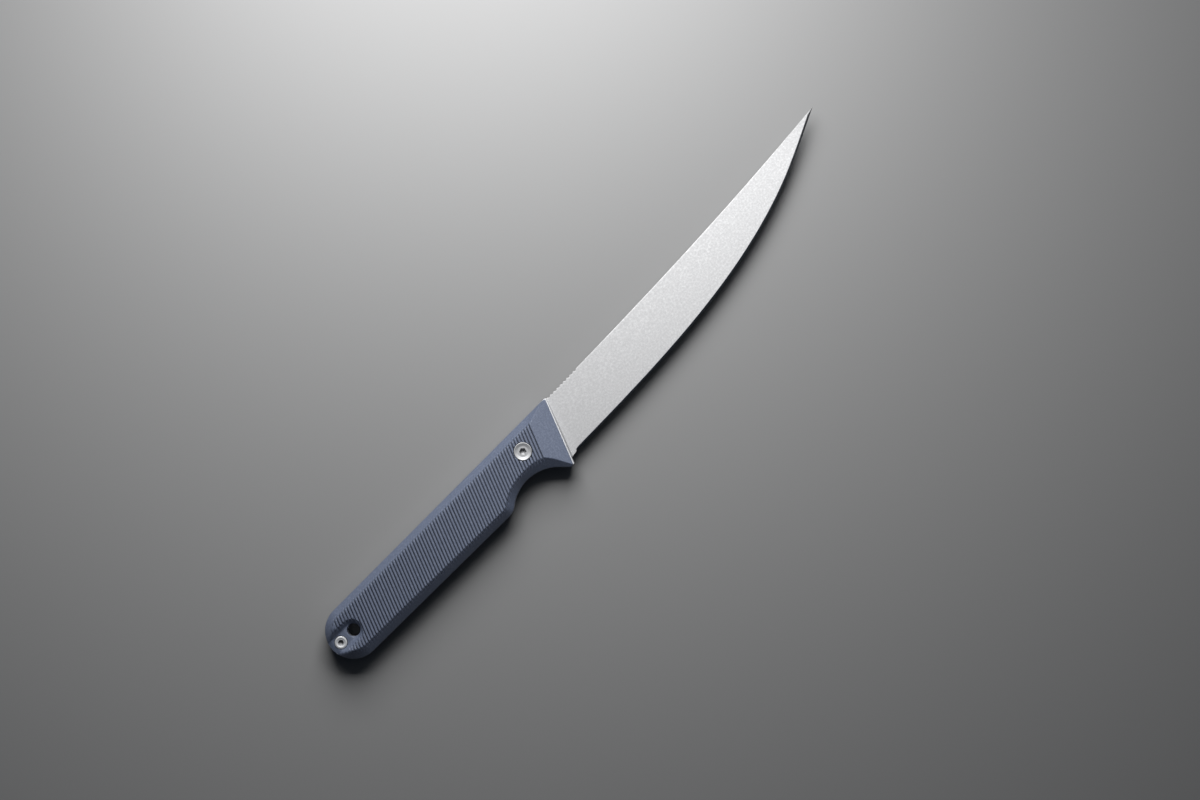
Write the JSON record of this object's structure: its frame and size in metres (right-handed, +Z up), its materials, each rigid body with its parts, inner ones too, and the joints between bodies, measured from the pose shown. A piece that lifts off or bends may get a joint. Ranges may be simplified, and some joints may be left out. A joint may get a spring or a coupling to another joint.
{
  "type": "kitchen knife",
  "caption": "Full-tang kitchen knife with a narrow upswept slicing blade and a grooved two-scale handle held by barrel fasteners.",
  "frame": {"origin": "centre of the footprint of the whole knife lying on its left side, at the surface it rests on", "axes": "+X from the handle to the tip, +Y towards the spine, +Z up, out of the right side of the knife"},
  "size_m": [0.296, 0.0345, 0.0149],
  "materials": {
    "blade_steel": "bead-blasted and tumbled, fine matte speckle",
    "liner_steel": "satin",
    "scale_composite": "machined slate-blue glass-fibre laminate",
    "fastener_steel": "turned, satin"
  },
  "bodies": {
    "root": {"blade": "blade_steel", "right_liner": "liner_steel", "left_liner": "liner_steel", "right_scale": "scale_composite", "left_scale": "scale_composite", "front_barrel_nut": "fastener_steel", "front_screw": "fastener_steel", "rear_barrel_nut": "fastener_steel", "rear_screw": "fastener_steel"}
  },
  "joints": []
}
